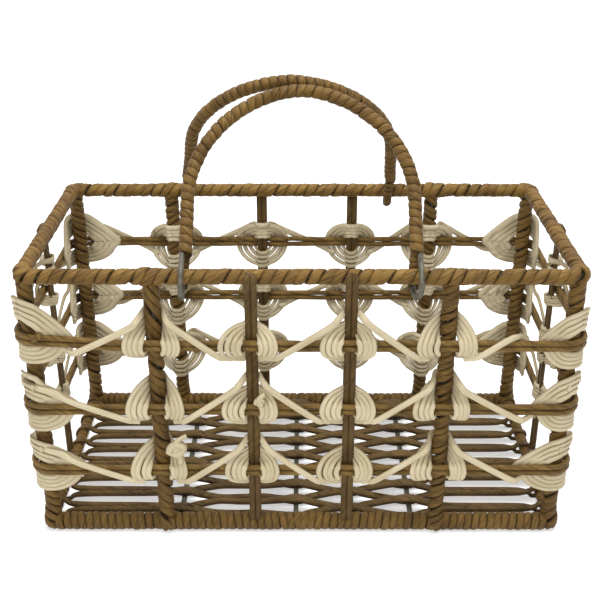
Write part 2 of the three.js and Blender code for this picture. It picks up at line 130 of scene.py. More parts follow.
def on_wall(wall, along, out, height):
    """The place and outward direction at a spot on a wall, which turns the corner at its end."""
    other = "right" if wall in ("front", "back") else "front"
    straight = half_run(wall, height) - corner_radius
    past = abs(along) - straight
    turn = min(max(past / corner_radius, 0), math.pi / 2)
    beyond = max(past - turn * corner_radius, 0)
    across = abs(along) if past < 0 else straight + (corner_radius + out) * math.sin(turn)
    forward = half_run(other, height) - corner_radius + (corner_radius + out) * math.cos(turn) - beyond
    side = math.copysign(1, along)
    swing = Matrix.Rotation(wall_turns[wall], 3, "Z")
    place = swing @ Vector((side * across, -forward, base_level + height))
    outward = swing @ Vector((side * math.sin(turn), -math.cos(turn), 0))
    return place, outward


def route_along(points):
    """A route through points, each a place and an outward direction, for cord to be laid on."""
    places = [place for place, outward in points]
    lengths = [0.0]
    for before, after in zip(places, places[1:]):
        lengths.append(lengths[-1] + (after - before).length)
    closed = (places[0] - places[-1]).length < 1e-6
    frames = []
    for order, (place, outward) in enumerate(points):
        before = places[order - 1] if order else places[-2 if closed else 0]
        after = places[order + 1] if order < len(places) - 1 else places[1 if closed else -1]
        heading = (after - before).normalized()
        across = (outward - heading * outward.dot(heading)).normalized()
        frames.append((place, heading, across, heading.cross(across)))
    return lengths, frames


def route_at(route, length):
    """The place, heading, outward and sideways directions at a length along a route."""
    lengths, frames = route
    span = min(max(bisect.bisect_right(lengths, length) - 1, 0), len(lengths) - 2)
    share = min(max((length - lengths[span]) / (lengths[span + 1] - lengths[span]), 0), 1)
    return [near.lerp(far, share) for near, far in zip(frames[span], frames[span + 1])]


def cord(route, width, thickness, seed, sides=8, square=1.0, twist=0, groove=0.0, shape=None):
    """One cord laid on a route, thick towards its outward side, with a UV map in metres and turns."""
    lengths, frames = route
    count = len(lengths) - 1
    own = random.Random(seed)
    start, tone = own.uniform(0, 9), own.uniform(-1, 1)
    bm = bmesh.new()
    bmesh.ops.create_grid(bm, x_segments=count, y_segments=sides, size=0.5)
    uv = bm.loops.layers.uv.new("cord")
    shade = bm.verts.layers.float.new("shade")
    for face in bm.faces:
        for loop in face.loops:
            step = round((loop.vert.co.x + 0.5) * count)
            loop[uv].uv = (start + lengths[step], loop.vert.co.y + 0.5)
    seam = [vert for vert in bm.verts if abs(vert.co.y) > 0.499]
    for vert in bm.verts:
        step, turn = round((vert.co.x + 0.5) * count), vert.co.y + 0.5
        angle = 2 * math.pi * (turn + twist * step / count)
        deep = 1 - groove * max(0, 1 - 5 * min(turn, 1 - turn))
        slim, thin = shape(lengths[step]) if shape else (1, 1)
        inward, aside = math.cos(angle), math.sin(angle)
        vert.co.x = step
        vert.co.y = -math.copysign(abs(inward) ** square, inward) * deep * thin * thickness / 2
        vert.co.z = math.copysign(abs(aside) ** square, aside) * deep * slim * width / 2
        vert[shade] = tone
    bmesh.ops.remove_doubles(bm, verts=seam, dist=1e-6)
    bmesh.ops.holes_fill(bm, edges=[edge for edge in bm.edges if edge.is_boundary], sides=0)
    for vert in bm.verts:
        place, heading, across, aside = frames[round(vert.co.x)]
        vert.co = place + across * vert.co.y + aside * vert.co.z
    bmesh.ops.recalc_face_normals(bm, faces=bm.faces[:])
    return bm


def winding(route, middle, pitch, start=0.0, hand=1, seed=0, loose=1.0, swell=None, steps=14):
    """The route of a cord wound round another route, each turn with a lean and a bulge of its own."""
    run = route[0][-1]
    count = round(run / pitch * steps)
    points = []
    for order in range(count + 1):
        along = run * order / count
        lap = along / pitch
        push = noise.noise(Vector((lap * 1.7, seed * 3.1, 0.5))) * loose
        lean = noise.noise(Vector((lap * 1.3, seed * 2.3, 7.5))) * loose
        edge = min(1, 4 * along / pitch, 4 * (run - along) / pitch)
        place, heading, across, aside = route_at(route, along + lean * edge * 0.13 * pitch)
        angle = hand * 2 * math.pi * (lap + start)
        radial = across * math.cos(angle) + aside * math.sin(angle)
        reach = middle * (1 + 0.09 * push) * (swell(along) if swell else 1)
        points.append((place + radial * reach, radial))
    return route_along(points)


def gather(strands):
    """One bmesh of many strands."""
    bm = bmesh.new()
    for strand in strands:
        part = bpy.data.meshes.new("part")
        strand.to_mesh(part)
        strand.free()
        bm.from_mesh(part)
        bpy.data.meshes.remove(part)
    return bm


def put(name, bm, material, body, slot, *replaced):
    """Makes the finished piece, ties it to its body and hides the nodes it stands for; its slot is not
    used.
    """
    mesh = bpy.data.meshes.new(name)
    bm.to_mesh(mesh)
    bm.free()
    mesh.polygons.foreach_set("use_smooth", [True] * len(mesh.polygons))
    mesh.materials.append(material)
    piece = bpy.data.objects.new(name, mesh)
    bpy.context.scene.collection.objects.link(piece)
    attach(piece, body)
    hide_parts(*replaced)
    return piece


def paper_cord(name, light, deep, fold, lay_length, fineness, roughness, edge_shade, creasing=0.55):
    """Twisted or flat paper cord: fibre lines along or round it, folds, a soft sheen and wear, with
    painted shade in the fold colour along the edges of each turn and in its creases.
    """
    fibres_along, folds_along, patch_scale = 45, 22, 38
    material = bpy.data.materials.new(name)
    material.use_nodes = True
    tree = material.node_tree
    link = tree.links.new
    shader = tree.nodes["Principled BSDF"]
    shader.inputs["Specular IOR Level"].default_value = 0.2
    shader.inputs["Sheen Weight"].default_value = 0.02
    shader.inputs["Sheen Roughness"].default_value = 0.5

    def sum_of(kind, first, second, third=None):
        node = tree.nodes.new("ShaderNodeMath")
        node.operation = kind
        for socket, value in zip(node.inputs, (first, second, third)):
            if value is None:
                continue
            if isinstance(value, (int, float)):
                socket.default_value = value
            else:
                link(value, socket)
        return node.outputs[0]

    def noise_of(vector, scale, detail, rough=0.5):
        node = tree.nodes.new("ShaderNodeTexNoise")
        node.inputs["Scale"].default_value = scale
        node.inputs["Detail"].default_value = detail
        node.inputs["Roughness"].default_value = rough
        link(vector, node.inputs["Vector"])
        return node.outputs["Fac"]

    def vector_of(x, y, z):
        node = tree.nodes.new("ShaderNodeCombineXYZ")
        for socket, value in zip(node.inputs, (x, y, z)):
            link(value, socket)
        return node.outputs[0]

    def blend_of(factor, first, second, kind="MIX"):
        node = tree.nodes.new("ShaderNodeMix")
        node.data_type = "RGBA"
        node.blend_type = kind
        link(factor, node.inputs["Factor"])
        for socket, value in ((node.inputs["A"], first), (node.inputs["B"], second)):
            if isinstance(value, tuple):
                socket.default_value = value
            else:
                link(value, socket)
        return node.outputs["Result"]

    def limits(value, low, high, to_low, to_high):
        node = tree.nodes.new("ShaderNodeMapRange")
        keys = ("From Min", "From Max", "To Min", "To Max")
        for key, number in zip(keys, (low, high, to_low, to_high)):
            node.inputs[key].default_value = number
        link(value, node.inputs["Value"])
        return node.outputs["Result"]

    unrolled_map = tree.nodes.new("ShaderNodeUVMap")
    unrolled_map.uv_map = "cord"
    split = tree.nodes.new("ShaderNodeSeparateXYZ")
    link(unrolled_map.outputs["UV"], split.inputs[0])
    run, turn = split.outputs["X"], split.outputs["Y"]
    angle = sum_of("MULTIPLY", turn, 2 * math.pi)
    twisted = sum_of("MULTIPLY_ADD", run, 2 * math.pi / lay_length, angle) if lay_length else angle
    round_x, round_y = sum_of("COSINE", twisted, 0), sum_of("SINE", twisted, 0)
    fibres = noise_of(vector_of(
        sum_of("MULTIPLY", round_x, fineness), sum_of("MULTIPLY", round_y, fineness),
        sum_of("MULTIPLY", run, fibres_along)), 1, 4, 0.6)
    folds = noise_of(vector_of(
        sum_of("MULTIPLY", round_x, fineness * 0.32), sum_of("MULTIPLY", round_y, fineness * 0.32),
        sum_of("MULTIPLY", run, folds_along)), 1, 2, 0.4)
    # Painted shade: the creases are darkened towards the fold colour, on top of the real grooves that
    # the bump gives them.
    crease = limits(sum_of("ABSOLUTE", sum_of("SUBTRACT", folds, 0.5), 0), 0, 0.035, 1, 0)
    where = tree.nodes.new("ShaderNodeTexCoord")
    patches = noise_of(where.outputs["Object"], patch_scale, 3)
    own_shade = tree.nodes.new("ShaderNodeAttribute")
    own_shade.attribute_name = "shade"
    # Painted shade: each turn darkens towards its edges, where it meets the next turn, by edge_shade
    # towards the fold colour.
    edge = sum_of("POWER", sum_of("ABSOLUTE", sum_of("SINE", angle, 0), 0), 5)
    tone = sum_of("MULTIPLY_ADD", own_shade.outputs["Fac"], 0.1, limits(patches, 0.3, 0.7, 0.15, 0.85))
    tone = sum_of("MULTIPLY_ADD", fibres, 1.3, sum_of("SUBTRACT", tone, 0.65))
    ground = blend_of(limits(tone, 0, 1, 0, 1), deep, light)
    crease_shaded = blend_of(sum_of("MULTIPLY", crease, creasing), ground, fold)
    shaded = blend_of(sum_of("MULTIPLY", edge, edge_shade), crease_shaded, fold)
    link(shaded, shader.inputs["Base Color"])
    link(limits(fibres, 0.3, 0.7, roughness + 0.1, roughness - 0.06), shader.inputs["Roughness"])
    height = sum_of("MULTIPLY_ADD", crease, -1.5 * creasing, sum_of("MULTIPLY", fibres, 0.7))
    bump = tree.nodes.new("ShaderNodeBump")
    bump.inputs["Strength"].default_value = 0.7
    bump.inputs["Distance"].default_value = 0.0006
    link(height, bump.inputs["Height"])
    link(bump.outputs["Normal"], shader.inputs["Normal"])
    return material


# The rim's colour is paler than that of the same cord on the base ring, the uprights and the handles:
# painted light, for the light from above falling on the top ring.
rim_cord = paper_cord("rim_cord", (0.3, 0.175, 0.04, 1), (0.125, 0.064, 0.015, 1),
                      (0.035, 0.017, 0.005, 1), 0.03, 3.2, 0.5, 0.5)
rim_wrap_radius = 0.0059
rim_band, rim_band_height, rim_pitch = 0.0078, 0.0036, 0.0165
rim_middle = rim_wrap_radius - rim_band_height / 2


def circuit(height, out, spacing=0.002):
    """All the way round the basket at one height, from the middle of the front left corner."""
    points = []
    for wall in ("front", "right", "back", "left"):
        reach = half_run(wall, height) - corner_radius + corner_arc / 2
        count = round(2 * reach / spacing)
        points += [on_wall(wall, (order / count * 2 - 1) * reach, out, height)
                   for order in range(count)]
    points.append(points[0])
    return route_along(points)


rim_route = circuit(rim_height, 0)
rim_run = rim_route[0][-1]
rim_turns = round(rim_run / rim_pitch)
front_post_share, back_post_share = 0.535, 0.57


def rim_joints():
    """The lengths along the rim at which the corner posts and the uprights are bound in."""
    post_shares = {"front": front_post_share, "back": back_post_share}
    spots = [(wall, share) for wall, post_share in post_shares.items()
             for share in (-1, -post_share, post_share, 1)]
    joints = []
    for wall, share in spots:
        place = on_wall(wall, share * half_run(wall, rim_height), 0, rim_height)[0]
        nearest = min(range(len(rim_route[0])),
                      key=lambda step: (rim_route[1][step][0] - place).length)
        joints.append(rim_route[0][nearest])
    return joints


joint_lengths = rim_joints()
joint_swell, joint_reach = 0.3, 0.008


def rim_swell(length):
    """A little thicker at every joint."""
    apart = min(min(abs(length - joint), rim_run - abs(length - joint)) for joint in joint_lengths)
    return 1 + joint_swell * math.exp(-(apart / joint_reach) ** 2)


rim_strands = [
    cord(winding(rim_route, rim_middle, rim_run / rim_turns, start=start, hand=-1, seed=11 + start,
                 loose=1.3, swell=rim_swell),
         rim_band, rim_band_height, 11 + start, square=0.8)
    for start in (0, 0.5)
]
put("rim_wrapping", gather(rim_strands), rim_cord, "basket", "brown_cord", "rim_wrap")

# Wrapping of the base ring
# The same cord in single, closer turns over a thicker padding, so that the ring stands as a foot.
# The two end rails are wound thinly, to leave room for the floor cords that loop round them.

# The same cord as on the rim, coloured darker than the rim's cord, whose paler colour is painted light
# from above.
brown_wrap = paper_cord("brown_wrap", (0.24, 0.14, 0.034, 1), (0.1, 0.052, 0.012, 1),
                        (0.028, 0.013, 0.004, 1), 0.03, 3.2, 0.5, 0.65)
base_wrap_radius, end_rail_radius = 0.007, 0.0039
base_band, base_band_height, base_pitch = 0.0062, 0.0036, 0.0058
base_middle = base_wrap_radius - base_band_height / 2
end_rail_share = end_rail_radius / base_wrap_radius
lap_share, lap_length = 0.02, 0.0038


def half_circuit(height, first, spacing=0.002):
    """Half way round the basket, from a little before the middle of the front or the back."""
    last = {"front": "back", "back": "front"}[first]
    end = {"front": "right", "back": "left"}[first]
    points = []
    for wall, low, high in ((first, -lap_share, 1), (end, -1, 1), (last, -1, 0)):
        reach = half_run(wall, height) - corner_radius + corner_arc / 2
        count = round((high - low) * reach / spacing)
        points += [on_wall(wall, (low + (high - low) * order / count) * reach, 0, height)
                   for order in range(count)]
    points.append(on_wall(last, 0.004, 0, height))
    return route_along(points)


def foot_swell(place):
    """Full size along the front and back, and slim along the end rail half way round."""
    first = half_run("front", 0) - corner_radius + corner_arc + lap_length
    last = first + 2 * (half_run("right", 0) - corner_radius)
    inside = min(place - first, last - place)
    return 1 - (1 - end_rail_share) * min(max(inside / 0.004, 0), 1)


base_strands = []
for order, (first, hand) in enumerate((("front", -1), ("back", 1))):
    base_route = half_circuit(0, first)
    base_run = base_route[0][-1]
    wound = winding(base_route, base_middle, base_run / round(base_run / base_pitch), hand=hand,
                    seed=23 + order, swell=foot_swell)
    base_strands.append(cord(wound, base_band, base_band_height, 23 + order, square=0.8))
put("base_wrapping", gather(base_strands), brown_wrap, "basket", "brown_cord", "base_wrap")

# Wrapping of the uprights
# Several cords laid side by side and twisted round each upright wire, steeper or flatter on each,
# from under the rim down over the base ring, where the last turns swell round the foot.

# For each: its wall, its share of half the wall, its hand, and its lengths of winding, each from
# one height to another with the rise of one turn and the number of cords.
posts = {
    "front_left": ("front", -front_post_share, -1,
                   ((0.156, 0.2025, 0.047, 5), (-0.0045, 0.157, 0.023, 3))),
    "front_right": ("front", front_post_share, 1, ((-0.0045, 0.2025, 0.0165, 3),)),
    "back_right": ("back", -back_post_share, -1, ((-0.0045, 0.2025, 0.017, 3),)),
    "back_left": ("back", back_post_share, 1, ((-0.0045, 0.2025, 0.017, 3),)),
}
corners = {
    "front_right": ("front", 1, ((-0.0045, 0.2025, 0.022, 3),)),
    "back_right": ("right", 1, ((-0.0045, 0.2025, 0.018, 3),)),
    "back_left": ("back", -1, ((-0.0045, 0.2025, 0.018, 3),)),
    "front_left": ("left", -1, ((0.1, 0.2025, 0.03, 4), (-0.0045, 0.101, 0.02, 3))),
}
upright_radius = 0.0062
upright_cord = 0.0036
foot_height, foot_step = 0.016, 0.0022


def upright_route(wall, share_or_corner, low, high, spacing=0.003):
    """Up an upright between two heights above the base wire."""
    count = round((high - low) / spacing)
    points = []
    for order in range(count + 1):
        height = low + (high - low) * order / count
        if share_or_corner == "corner":
            along = half_run(wall, height) - corner_radius + corner_arc / 2
        else:
            along = share_or_corner * half_run(wall, height)
        foot = max(0, 1 - height / foot_height)
        points.append(on_wall(wall, along, foot_step * foot, height))
    return route_along(points)


def foot_of(length):
    """Thicker in the last turns over the base ring, and drawn in round at the very end."""
    end_run, swell_run, swell = 0.0055, 0.02, 0.28
    drawn = math.sin(min(1, length / end_run) * math.pi / 2)
    return (0.3 + 0.7 * drawn) * (1 + swell * max(0, 1 - length / swell_run))


def wound_upright(wall, share_or_corner, hand, lengths, seed):
    """The twisted cords of one upright, in one or two lengths of different slope."""
    strands = []
    for low, high, pitch, count in lengths:
        route = upright_route(wall, share_or_corner, low, high)
        middle = upright_radius - upright_cord / 2
        lean = math.cos(math.atan2(pitch, 2 * math.pi * middle))
        for order in range(count):
            seed += 1
            wound = winding(route, middle, pitch, start=order / count, hand=hand, seed=seed,
                            swell=foot_of if low < 0.01 else None, steps=16 if pitch < 0.03 else 30)
            strands.append(cord(wound, pitch / count * lean * 1.1, upright_cord, seed, square=0.8))
    return gather(strands)


for order, (name, (wall, share, hand, lengths)) in enumerate(posts.items()):
    put(f"post_wrapping_{name}", wound_upright(wall, share, hand, lengths, 40 + 10 * order),
        brown_wrap, "basket", "brown_cord", f"post_wrap_{name}")
for order, (name, (wall, hand, lengths)) in enumerate(corners.items()):
    put(f"corner_wrapping_{name}", wound_upright(wall, "corner", hand, lengths, 90 + 10 * order),
        brown_wrap, "basket", "brown_cord", f"corner_wrap_{name}")

# Thin stakes
# One brown cord for each, with its fold laid over the front of the rim and its two legs led down
# side by side to the base ring. In the end walls the legs spread a little towards the foot.

cord_radius = 0.0021
cord_pitch = 0.0045
clearance = 0.0003
stake_width, stake_depth = 0.0048, 0.0036
dark_cord = paper_cord("dark_cord", (0.178, 0.108, 0.031, 1), (0.078, 0.043, 0.012, 1),
                       (0.024, 0.012, 0.004, 1), 0.026, 2.6, 0.52, 0.4)


def smoothed(points, spacing=0.002, closed=False):
    """Points with outward directions, run through by one smooth curve."""
    wanted = []
    count = len(points)
    spans = count if closed else count - 1
    for span in range(spans):
        if closed:
            four = [points[(span + step) % count] for step in (-1, 0, 1, 2)]
        else:
            four = [points[min(max(span + step, 0), count - 1)] for step in (-1, 0, 1, 2)]
        steps = max(1, round((four[2][0] - four[1][0]).length / spacing))
        for order in range(steps):
            t = order / steps
            weights = (
                (-t + 2 * t ** 2 - t ** 3) / 2, (2 - 5 * t ** 2 + 3 * t ** 3) / 2,
                (t + 4 * t ** 2 - 3 * t ** 3) / 2, (t ** 3 - t ** 2) / 2,
            )
            place = sum((point[0] * weight for point, weight in zip(four, weights)), Vector())
            outward = sum((point[1] * weight for point, weight in zip(four, weights)), Vector())
            wanted.append((place, outward))
    wanted.append(wanted[0] if closed else points[-1])
    return route_along(wanted)


rail_out = upright_radius + clearance + cord_radius
stake_out = rail_out - cord_pitch
front_stake_share, back_stake_shares = 0.18, (-0.225, 0.175)
stakes = {
    "front_left": ("front", -front_stake_share), "front_right": ("front", front_stake_share),
    "end_right": ("right", 0.0), "back_right": ("back", back_stake_shares[0]),
    "back_left": ("back", back_stake_shares[1]), "end_left": ("left", 0.0),
}
stake_splay = 0.0022


def stake_route(wall, share):
    """Up one leg of a stake, over its fold and down the other leg."""
    foot = 0.0045 if wall in ("front", "back") else 0.0042
    splay = stake_splay if wall in ("left", "right") else 0
    knee = rim_height - 0.014
    leg = [(foot + (knee - foot) * order / 11, stake_out) for order in range(12)]
    leg += [(rim_height - 0.0085, 0.0052), (rim_height - 0.0045, 0.0072),
            (rim_height - 0.0008, 0.0076), (rim_height + 0.0014, 0.0064)]
    points = []
    for side, half in ((-1, leg), (1, leg[::-1])):
        for height, out in half:
            aside = side * (cord_pitch / 2 + splay * (1 - height / rim_height))
            points.append(on_wall(wall, share * half_run(wall, height) + aside, out, height))
        if side < 0:
            for step in range(1, 4):
                angle = math.pi * (1 - step / 4)
                along = share * half_run(wall, rim_height) + cord_pitch / 2 * math.cos(angle)
                top = rim_height + 0.0014 + 0.0008 * math.sin(angle)
                points.append(on_wall(wall, along, 0.0044, top))
    return smoothed(points)


for order, (name, (wall, share)) in enumerate(stakes.items()):
    route = stake_route(wall, share)
    strand = cord(route, stake_width, stake_depth, 140 + order, sides=10, square=0.8, groove=0.1)
    put(f"stake_cord_{name}", strand, dark_cord, "basket", "dark_cord", f"stake_{name}")

# Rail cords
# Three rows of paired brown cords, each run once round the basket outside the uprights.
# The lacing holds them. They wander a little between one upright and the next.

upward = Vector((0, 0, 1))
climb_height, between_rows = 0.0045, 0.13


def eased(value, low, high):
    """From 0 to 1 between two values, with soft ends."""
    share = min(max((value - low) / (high - low), 0), 1)
    return share * share * (3 - 2 * share)


def climb(place):
    """The top row climbs a little towards the front left corner."""
    if place.z < between_rows:
        return Vector()
    return upward * climb_height * eased(-place.x, 0.115, 0.2) * eased(-place.y, 0.02, 0.1)


rail_cord = paper_cord("rail_cord", (0.31, 0.19, 0.05, 1), (0.14, 0.078, 0.02, 1),
                       (0.03, 0.014, 0.005, 1), 0.026, 2.6, 0.52, 0.4)
row_heights = {"top": 0.15553, "middle": 0.103515, "bottom": 0.0515}
rail_width, rail_lay, rail_drift = 0.0045, 0.05, 0.0007
binding_from, binding_to = -0.195, -0.185
for row, (row_name, height) in enumerate(row_heights.items()):
    for level, side in (("upper", 1), ("lower", -1)):
        seed = 160 + 2 * row + side
        lengths, frames = circuit(height + side * cord_pitch / 2, rail_out)
        points = []
        for length, (place, heading, across, aside) in zip(lengths, frames):
            drift = noise.noise(Vector((length * 22, seed, 0))) * rail_drift
            points.append((place + upward * drift + climb(place), across))
        points[-1] = points[0]
        route = route_along(points)
        strands = [cord(route, rail_width, 2 * cord_radius, seed, sides=10,
                        twist=-round(route[0][-1] / rail_lay), groove=0.14)]
        if (row_name, level) == ("top", "upper"):
            bound = [(place, outward) for place, outward in points
                     if binding_from < place.x < binding_to and place.y < 0]
            binding = winding(route_along(bound), cord_radius + 0.0007, 0.0042, seed=9)
            strands.append(cord(binding, 0.0044, 0.0016, 9, square=0.7))
        put(f"rail_cord_{row_name}_{level}", gather(strands), rail_cord, "basket", "dark_cord",
            f"rail_{row_name}_{level}")

# Woven floor
# Eight rows of doubled brown cord. Each cord goes out over and under the ribs, loops flat round the
# slim end rail and comes back. At every rib the strands part and close up with those of the rows
# beside them, so the gaps of one bay lie opposite the cords of the next.

floor_rows = 8
floor_pitch = (base_depth - 2 * base_wrap_radius) / floor_rows
rib_places = [(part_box(name)[0].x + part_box(name)[1].x) / 2 for name in (
    "floor_rib_left", "floor_rib_middle", "floor_rib_middle_right", "floor_rib_right")]
weave_rise = 0.00465
together, apart = 0.0026, floor_pitch / 2 - 0.0026
loop_thickness, loop_width = 0.0024, 0.0054
loop_radius = end_rail_radius + clearance + loop_thickness / 2


def floor_strand(own):
    """One strand from the left end to the right: along, aside, rise, width and thickness."""
    half, crossing, opening, closing, bend = base_length / 2, floor_pitch / 4, 0.013, 0.03, 0.017
    plain, pressed, spread, bent = (0.006, 0.0053), (0.0112, 0.0046), (0.0084, 0.005), (0.0056, 0.003)
    spots = [(-half + 1.1 * loop_radius, together, loop_radius, *bent),
             (-half + bend, together, 0.0008, *plain), (rib_places[0] - closing, together, 0, *plain),
             (rib_places[0] - opening, (together + crossing) / 2, -weave_rise / 2, *spread)]
    for order, rib in enumerate(rib_places):
        level = (weave_rise if order % 2 else -weave_rise) * 0.92
        spots += [(rib + step, crossing, level, *pressed) for step in (-0.004, 0.004)]
        if order < len(rib_places) - 1:
            aside, after = together if order % 2 else apart, rib_places[order + 1]
            spots.append((rib + opening, (aside + crossing) / 2, level / 2, *spread))
            gap = (after - rib) / 2 - 0.028
            for step in (-1, 0, 1) if gap > 0.01 else ():
                spots.append(((rib + after) / 2 + step * gap, aside + own.uniform(-0.0005, 0.0005),
                              own.uniform(-0.0008, 0.0008), *plain))
            spots.append((after - opening, (aside + crossing) / 2, -level / 2, *spread))
    spots += [(rib_places[-1] + opening, (together + crossing) / 2, level / 2, *spread),
              (rib_places[-1] + closing, together, 0, *plain), (half - bend, together, -0.0008, *plain),
              (half - 1.1 * loop_radius, together, -loop_radius, *bent)]
    return spots


def floor_route(middle, own):
    """Round one floor row, with the cord's width and thickness at each point."""
    out = floor_strand(own)
    back = [(x, -y, -z, *size) for x, y, z, *size in floor_strand(own)][::-1]
    points = []
    for heading, strand in ((1, out), (-1, back)):
        points += strand
        for step in range(9):
            share = step / 8
            angle = math.pi * (0.5 - share)
            points.append((heading * (base_length / 2 + loop_radius * math.cos(angle)),
                           heading * together * (1 - 2 * share), -loop_radius * math.sin(angle),
                           loop_width, loop_thickness))
    places = [Vector((x, middle + y, base_level + z)) for x, y, z, *size in points]
    with_outward = []
    for order, place in enumerate(places):
        heading = (places[(order + 1) % len(places)] - places[order - 1]).normalized()
        with_outward.append((place, heading.cross(Vector((0, 1, 0))).normalized()))
    route = smoothed(with_outward, spacing=0.0025, closed=True)
    marks = []
    for place, (x, y, z, *size) in zip(places, points):
        nearest = min(range(len(route[0])), key=lambda step: (route[1][step][0] - place).length)
        marks.append((route[0][nearest], size))
    return route, sorted(marks)


for row in range(floor_rows):
    route, marks = floor_route((row - (floor_rows - 1) / 2) * floor_pitch, random.Random(180 + row))
    marks.append((route[0][-1] + 0.001, marks[0][1]))

    def pressed_shape(length):
        """Round along the floor, wider over the ribs and flat round the end rail."""
        span = min(max(bisect.bisect_right(marks, (length, [1])) - 1, 0), len(marks) - 2)
        (first, low), (last, high) = marks[span], marks[span + 1]
        share = min(max((length - first) / (last - first), 0), 1)
        return [near + (far - near) * share for near, far in zip(low, high)]

    strand = cord(route, 1, 1, 180 + row, sides=9, groove=0.12, shape=pressed_shape)
    put(f"floor_cord_{row + 1}", strand, dark_cord, "basket", "dark_cord", f"floor_row_{row + 1}")

# Cream lacing
# Soft flat paper cord. At each crossing it goes over the rail cords and behind the upright in four
# nested turns, which open into two petals; at a corner it goes behind the rail cords and over the
# post. From the last turn it runs on slantwise over the rail cords to the next crossing.

cream_cord = paper_cord("cream_cord", (0.79, 0.69, 0.47, 1), (0.62, 0.52, 0.33, 1),
                        (0.22, 0.16, 0.08, 1), 0, 1.5, 0.6, 0.75, creasing=0.12)
lace_thickness = 0.002
link_width = 0.0052
lace_turns, turn_steps = 4, 52
petal_front = rail_out + cord_radius + clearance + lace_thickness / 2

# For each kind of crossing: half the width of its upright, how far out the turns lie over the
# rails, beside the upright and behind it, how pointed they are, the reach of the outer and the
# inner turn each way, the width of a strand, and the height from which a high strand leaves.
kinds = {
    "post": {
        "half": upright_radius, "front": petal_front, "beside": 0.001, "back": -0.0076, "bend": 1.12,
        "top": (0.0228, 0.0118), "bottom": (0.0124, 0.0072), "left": (0.0198, 0.0088),
        "right": (0.0172, 0.0086), "width": 0.0044, "high": 0.0225,
    },
    "stake": {
        "half": 0.0044, "front": petal_front, "beside": 0.0056, "back": 0.0004, "bend": 0.98,
        "top": (0.017, 0.0084), "bottom": (0.0128, 0.0074), "left": (0.0198, 0.0082),
        "right": (0.0166, 0.0074), "width": 0.0044, "high": 0.0245,
    },
    "back post": {
        "half": upright_radius, "front": petal_front, "beside": 0.001, "back": -0.0076, "bend": 1.0,
        "top": (0.0178, 0.0088), "bottom": (0.0215, 0.0086), "left": (0.0208, 0.0088),
        "right": (0.0208, 0.0088), "width": 0.0044, "high": 0.0185,
    },
    "back stake": {
        "half": 0.0044, "front": petal_front, "beside": 0.0056, "back": 0.0004, "bend": 0.98,
        "top": (0.0165, 0.0084), "bottom": (0.0205, 0.0082), "left": (0.0205, 0.0082),
        "right": (0.0205, 0.0082), "width": 0.0044, "high": 0.0175,
    },
    "corner": {
        "half": upright_radius, "front": 0.0052, "beside": 0.0076, "back": 0.0084, "bend": 1.75,
        "top": (0.0248, 0.0122), "bottom": (0.0178, 0.0078), "left": (0.032, 0.0148),
        "right": (0.032, 0.0148), "width": 0.0062,
    },
}
wall_crossings = {
    "front": [("corner", -1), ("post", -front_post_share), ("stake", -front_stake_share),
              ("stake", front_stake_share), ("post", front_post_share), ("corner", 1)],
    "right": [("stake", 0.0)],
    "back": [("corner", -1), ("back post", -back_post_share), ("back stake", back_stake_shares[0]),
             ("back stake", back_stake_shares[1]), ("back post", back_post_share), ("corner", 1)],
    "left": [("stake", 0.0)],
}
rails_half, beside_gap, tip_round = 0.0052, 0.0018, 0.12
turn_lift = 0.00025


def crossing_along(wall, kind, share, height):
    """How far along its wall a crossing lies."""
    if kind == "corner":
        return share * (half_run(wall, height) - corner_radius + corner_arc / 2)
    return share * half_run(wall, height)


def turn_point(wall, centre, height, kind, wide, rises, angle, lift):
    """One point of a turn of lacing, at an angle round its crossing from the outer side."""
    facts = kinds[kind]
    c, s = math.cos(angle), math.sin(angle)
    rise, bend = (rises[0], facts["bend"]) if s >= 0 else (rises[1], 0.95 if wall == "back" else 0.9)
    reach = wide[0] if c < 0 else wide[1]
    if kind == "corner":
        reach *= 0.8 + 0.2 * eased(s, -0.3, 0.3)
    along = reach * c * ((c * c + tip_round) / (1 + tip_round)) ** ((bend - 1) / 2)
    up = math.copysign(rise * abs(s) ** bend, s)
    quarter = math.atan2(abs(s), abs(c))
    clears = math.asin(min(1, rails_half / rise) ** (1 / bend))
    past = min(1, (facts["half"] + beside_gap) / reach)
    beside = max(clears + 0.15, math.acos(past ** (1 / bend)))
    behind = beside + 0.6 * (math.pi / 2 - beside)
    first = min(max((quarter - clears) / (beside - clears), 0), 1)
    second = eased(quarter, beside, behind)
    out = facts["front"] + (facts["beside"] - facts["front"]) * first
    out += (facts["back"] - facts["beside"]) * second + lift * (1 - first - second)
    tilt = 0.1 + 0.25 * first
    place, outward = on_wall(wall, centre + along, out, height + up)
    radial = Vector((c / reach, s / rise)).normalized()
    away = upward.cross(outward) * radial.x + upward * radial.y
    return place + climb(place), outward * math.cos(tilt) - away * math.sin(tilt)


